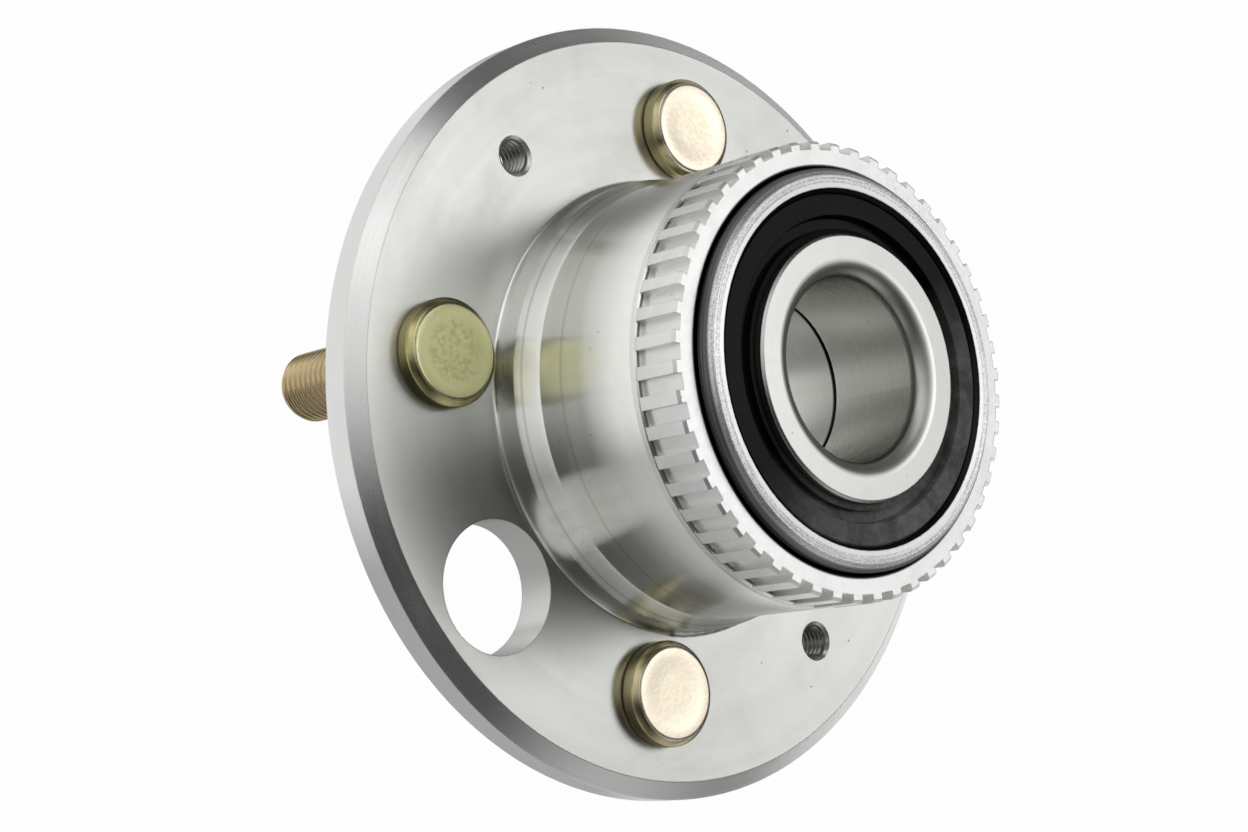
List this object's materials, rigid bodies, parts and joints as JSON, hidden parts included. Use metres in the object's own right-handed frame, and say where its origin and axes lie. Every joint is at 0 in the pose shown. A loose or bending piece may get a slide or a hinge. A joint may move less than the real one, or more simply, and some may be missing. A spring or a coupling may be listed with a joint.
{
  "type": "wheel hub",
  "caption": "Rear wheel hub with studded flange, toothed speed ring on the nose and sealed ball bearing with a plain spindle bore.",
  "frame": {"origin": "on the hub axis, in the plane of the flange's wheel face, where the wheel or brake sits", "axes": "+Z along the hub axis towards the vehicle (inboard side up), +X towards the first stud, +Y towards the second; the part stands on its four stud ends"},
  "size_m": [0.1352, 0.1352, 0.0842],
  "materials": {
    "hub_steel": "satin, turned, faint circular tool lines",
    "ring_steel": "light grey satin, pressed",
    "bearing_steel": "fine ground",
    "case_steel": "plain pressed sheet",
    "seal_rubber": "smooth moulded, semi-gloss",
    "cage_plastic": "moulded polyamide",
    "stud_zinc": "yellow zinc plate",
    "ball_steel": "polished"
  },
  "bodies": {
    "inner_rings": {"inner_ring_inboard": "bearing_steel", "inner_ring_outboard": "bearing_steel"},
    "hub": {"hub_flange": "hub_steel", "tone_ring": "ring_steel", "seal_inboard_case": "case_steel", "seal_inboard_lip": "seal_rubber", "seal_outboard_case": "case_steel", "seal_outboard_lip": "seal_rubber", "wheel_stud_1": "stud_zinc", "wheel_stud_2": "stud_zinc", "wheel_stud_3": "stud_zinc", "wheel_stud_4": "stud_zinc"},
    "cage_row_inboard": {"cage_inboard": "cage_plastic", "ball_inboard_01": "ball_steel", "ball_inboard_02": "ball_steel", "ball_inboard_03": "ball_steel", "ball_inboard_04": "ball_steel", "ball_inboard_05": "ball_steel", "ball_inboard_06": "ball_steel", "ball_inboard_07": "ball_steel", "ball_inboard_08": "ball_steel", "ball_inboard_09": "ball_steel", "ball_inboard_10": "ball_steel", "ball_inboard_11": "ball_steel", "ball_inboard_12": "ball_steel", "ball_inboard_13": "ball_steel", "ball_inboard_14": "ball_steel"},
    "cage_row_outboard": {"cage_outboard": "cage_plastic", "ball_outboard_01": "ball_steel", "ball_outboard_02": "ball_steel", "ball_outboard_03": "ball_steel", "ball_outboard_04": "ball_steel", "ball_outboard_05": "ball_steel", "ball_outboard_06": "ball_steel", "ball_outboard_07": "ball_steel", "ball_outboard_08": "ball_steel", "ball_outboard_09": "ball_steel", "ball_outboard_10": "ball_steel", "ball_outboard_11": "ball_steel", "ball_outboard_12": "ball_steel", "ball_outboard_13": "ball_steel", "ball_outboard_14": "ball_steel"}
  },
  "joints": [
    {"name": "hub_spin", "type": "hinge", "parent": "inner_rings", "child": "hub", "pos_m": [0, 0, 0], "axis": [0, 0, 1], "continuous": true},
    {"name": "cage_inboard_spin", "type": "hinge", "parent": "inner_rings", "child": "cage_row_inboard", "pos_m": [0, 0, 0.0412], "axis": [0, 0, 1], "continuous": true},
    {"name": "cage_outboard_spin", "type": "hinge", "parent": "inner_rings", "child": "cage_row_outboard", "pos_m": [0, 0, 0.024], "axis": [0, 0, 1], "continuous": true}
  ],
  "couplings": [
    {"joint": "cage_inboard_spin", "follows": "hub_spin", "ratio": 0.5746},
    {"joint": "cage_outboard_spin", "follows": "hub_spin", "ratio": 0.5746}
  ]
}
